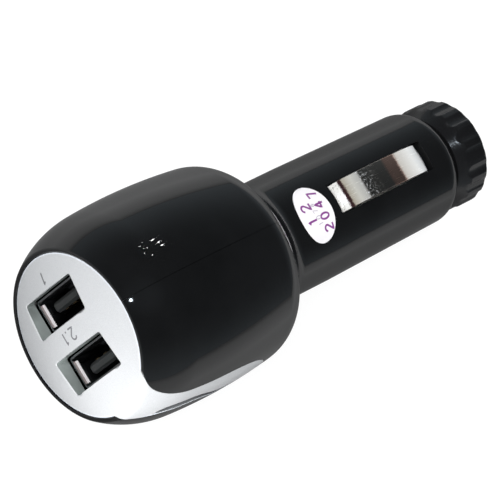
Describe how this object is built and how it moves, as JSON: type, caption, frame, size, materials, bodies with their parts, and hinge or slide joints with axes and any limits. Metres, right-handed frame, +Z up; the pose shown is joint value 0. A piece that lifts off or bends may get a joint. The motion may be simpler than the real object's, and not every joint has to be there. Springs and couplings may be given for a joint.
{
  "type": "car_usb_charger_plug",
  "caption": "Two-port USB car charger plug: domed silver face with two USB-A ports, glossy black two-part head with a silver side band, barrel with spring contacts, ribbed fuse cap and pin",
  "frame": {"origin": "Centre of the bounding box at the level of the table the plug lies on", "axes": "+X runs from the face with the ports to the tip with the pin, as the plug lies, +Z is up, and +Y goes to the left when looking from the face to the tip. The ports' long sides stand upright and port 2 is on the -Y side."},
  "size_m": [0.0956, 0.0366, 0.0383],
  "materials": {
    "silver_paint": "ABS under a satin silver metallic paint, on the face and the side band",
    "gloss_black": "polished black ABS or polycarbonate",
    "cap_black": "semi-matt moulded black",
    "nickel_spring": "nickel-plated spring sheet, polished, with light rub marks on the crest",
    "nickel": "nickel-plated brass, turned",
    "tin_steel": "tin-plated steel sheet",
    "brass": "plain stamped brass",
    "gold_contact": "gold-flashed copper alloy strip",
    "copper": "enamelled copper wire",
    "socket_black": "black moulded nylon",
    "sleeve_white": "natural white heat-resistant nylon",
    "fibre": "brown insulating fibre",
    "fuse_glass": "clear thin-walled glass tube",
    "board_green": "green glass-fibre circuit board under solder resist",
    "ferrite": "dark grey sintered ferrite",
    "can_blue": "aluminium can in a dark blue plastic jacket",
    "chip_black": "black moulding compound",
    "ceramic_tan": "tan ceramic chips",
    "lead_red": "red insulated stranded lead"
  },
  "bodies": {
    "plug": {"fascia": "silver_paint", "head_shell_left": "gloss_black", "head_shell_right": "gloss_black", "barrel": "gloss_black", "fuse_sleeve": "sleeve_white", "contact_spring": "tin_steel", "spring_seat": "brass", "ground_lead_top": "lead_red", "ground_lead_bottom": "lead_red", "circuit_board": "board_green", "usb_shell_1": "tin_steel", "usb_shell_2": "tin_steel", "usb_insulator_1": "socket_black", "usb_insulator_2": "socket_black", "usb_contacts_1": "gold_contact", "usb_contacts_2": "gold_contact", "inductor_core": "ferrite", "inductor_winding": "copper", "input_capacitor": "can_blue", "output_capacitor": "can_blue", "converter_chip": "chip_black", "power_diode": "chip_black", "chip_components": "ceramic_tan"},
    "cap_carrier": {"cap_washer": "fibre"},
    "cap": {"retaining_cap": "cap_black"},
    "pin": {"tip_pin": "nickel", "fuse_cap_front": "nickel", "fuse_glass": "fuse_glass", "fuse_element": "tin_steel", "fuse_cap_rear": "nickel"},
    "contact_top": {"ground_contact_top": "nickel_spring"},
    "contact_bottom": {"ground_contact_bottom": "nickel_spring"}
  },
  "joints": [
    {"name": "pin_press", "type": "slide", "parent": "plug", "child": "pin", "axis": [-0.9901, 0, 0.14], "range_m": [0, 0.0022], "stiffness_N_per_m": 700, "springref_m": -0.002, "deforming": ["contact_spring"]},
    {"name": "contact_top_press", "type": "slide", "parent": "plug", "child": "contact_top", "axis": [-0.14, 0, -0.9901], "range_m": [0, 0.0008], "stiffness_N_per_m": 400, "springref_m": -0.002},
    {"name": "contact_bottom_press", "type": "slide", "parent": "plug", "child": "contact_bottom", "axis": [0.14, 0, 0.9901], "range_m": [0, 0.0008], "stiffness_N_per_m": 400, "springref_m": -0.002},
    {"name": "cap_travel", "type": "slide", "parent": "plug", "child": "cap_carrier", "axis": [0.9901, 0, -0.14], "range_m": [0, 0.003]},
    {"name": "cap_turn", "type": "hinge", "parent": "cap_carrier", "child": "cap", "pos_m": [0.04136, 0, 0.00945], "axis": [0.9901, 0, -0.14], "range_deg": [0, 720]}
  ],
  "couplings": [
    {"joint": "cap_turn", "follows": "cap_travel", "rad_per_m": 4188.8}
  ]
}
